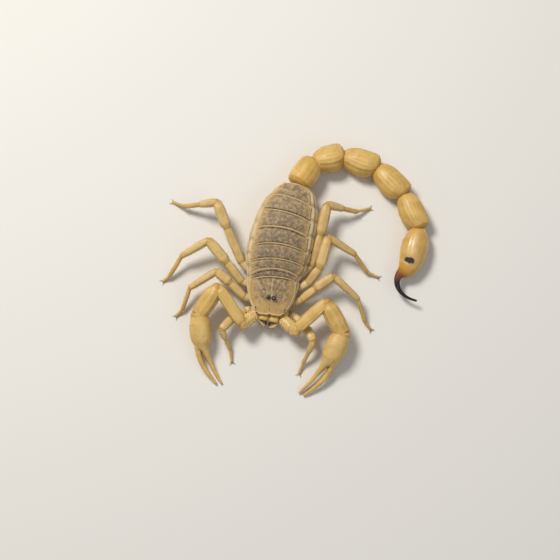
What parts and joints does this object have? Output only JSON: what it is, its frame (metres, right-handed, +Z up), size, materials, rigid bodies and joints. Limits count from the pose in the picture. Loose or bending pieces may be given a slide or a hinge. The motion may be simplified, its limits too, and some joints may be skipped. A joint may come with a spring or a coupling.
{
  "type": "desert scorpion",
  "caption": "Fat-tailed desert scorpion at rest, pincers forward and tail curled round to its left, as a still life-size model.",
  "frame": {"origin": "bottom centre of the bounding box, on the floor that the feet and the tail rest on", "axes": "+Z up, -Y towards the head and the pincers, +X towards the animal's left, where the tail curls"},
  "size_m": [0.0652, 0.0656, 0.009],
  "materials": {
    "cuticle_brown": "satin grey-brown shell plates, mottled, with thin pale rims",
    "cuticle_amber": "waxy golden yellow shell, slightly see-through, with granular keels",
    "cuticle_pale": "pale straw yellow shell and skin folds, satin",
    "cuticle_dark": "polished red-brown to black horn of sting, claws and jaw tips",
    "eye_black": "wet-looking black lens"
  },
  "bodies": {
    "root": {"carapace": "cuticle_brown", "prosoma_base": "cuticle_pale", "mesosoma_1": "cuticle_brown", "mesosoma_2": "cuticle_brown", "mesosoma_3": "cuticle_brown", "mesosoma_4": "cuticle_brown", "mesosoma_5": "cuticle_brown", "mesosoma_6": "cuticle_brown", "mesosoma_7": "cuticle_brown", "pectines": "cuticle_pale", "metasoma_1": "cuticle_amber", "metasoma_2": "cuticle_amber", "metasoma_3": "cuticle_amber", "metasoma_4": "cuticle_amber", "metasoma_5": "cuticle_amber", "telson": "cuticle_amber", "eye_right": "eye_black", "chelicera_right": "cuticle_dark", "pedipalp_right_femur": "cuticle_amber", "pedipalp_right_patella": "cuticle_amber", "pedipalp_right_hand": "cuticle_amber", "pedipalp_right_finger": "cuticle_amber", "leg_right_1_femur": "cuticle_pale", "leg_right_1_patella": "cuticle_pale", "leg_right_1_tibia": "cuticle_pale", "leg_right_1_tarsus": "cuticle_pale", "leg_right_2_femur": "cuticle_pale", "leg_right_2_patella": "cuticle_pale", "leg_right_2_tibia": "cuticle_pale", "leg_right_2_tarsus": "cuticle_pale", "leg_right_3_femur": "cuticle_pale", "leg_right_3_patella": "cuticle_pale", "leg_right_3_tibia": "cuticle_pale", "leg_right_3_tarsus": "cuticle_pale", "leg_right_4_femur": "cuticle_pale", "leg_right_4_patella": "cuticle_pale", "leg_right_4_tibia": "cuticle_pale", "leg_right_4_tarsus": "cuticle_pale", "eye_left": "eye_black", "chelicera_left": "cuticle_dark", "pedipalp_left_femur": "cuticle_amber", "pedipalp_left_patella": "cuticle_amber", "pedipalp_left_hand": "cuticle_amber", "pedipalp_left_finger": "cuticle_amber", "leg_left_1_femur": "cuticle_pale", "leg_left_1_patella": "cuticle_pale", "leg_left_1_tibia": "cuticle_pale", "leg_left_1_tarsus": "cuticle_pale", "leg_left_2_femur": "cuticle_pale", "leg_left_2_patella": "cuticle_pale", "leg_left_2_tibia": "cuticle_pale", "leg_left_2_tarsus": "cuticle_pale", "leg_left_3_femur": "cuticle_pale", "leg_left_3_patella": "cuticle_pale", "leg_left_3_tibia": "cuticle_pale", "leg_left_3_tarsus": "cuticle_pale", "leg_left_4_femur": "cuticle_pale", "leg_left_4_patella": "cuticle_pale", "leg_left_4_tibia": "cuticle_pale", "leg_left_4_tarsus": "cuticle_pale"}
  },
  "joints": []
}
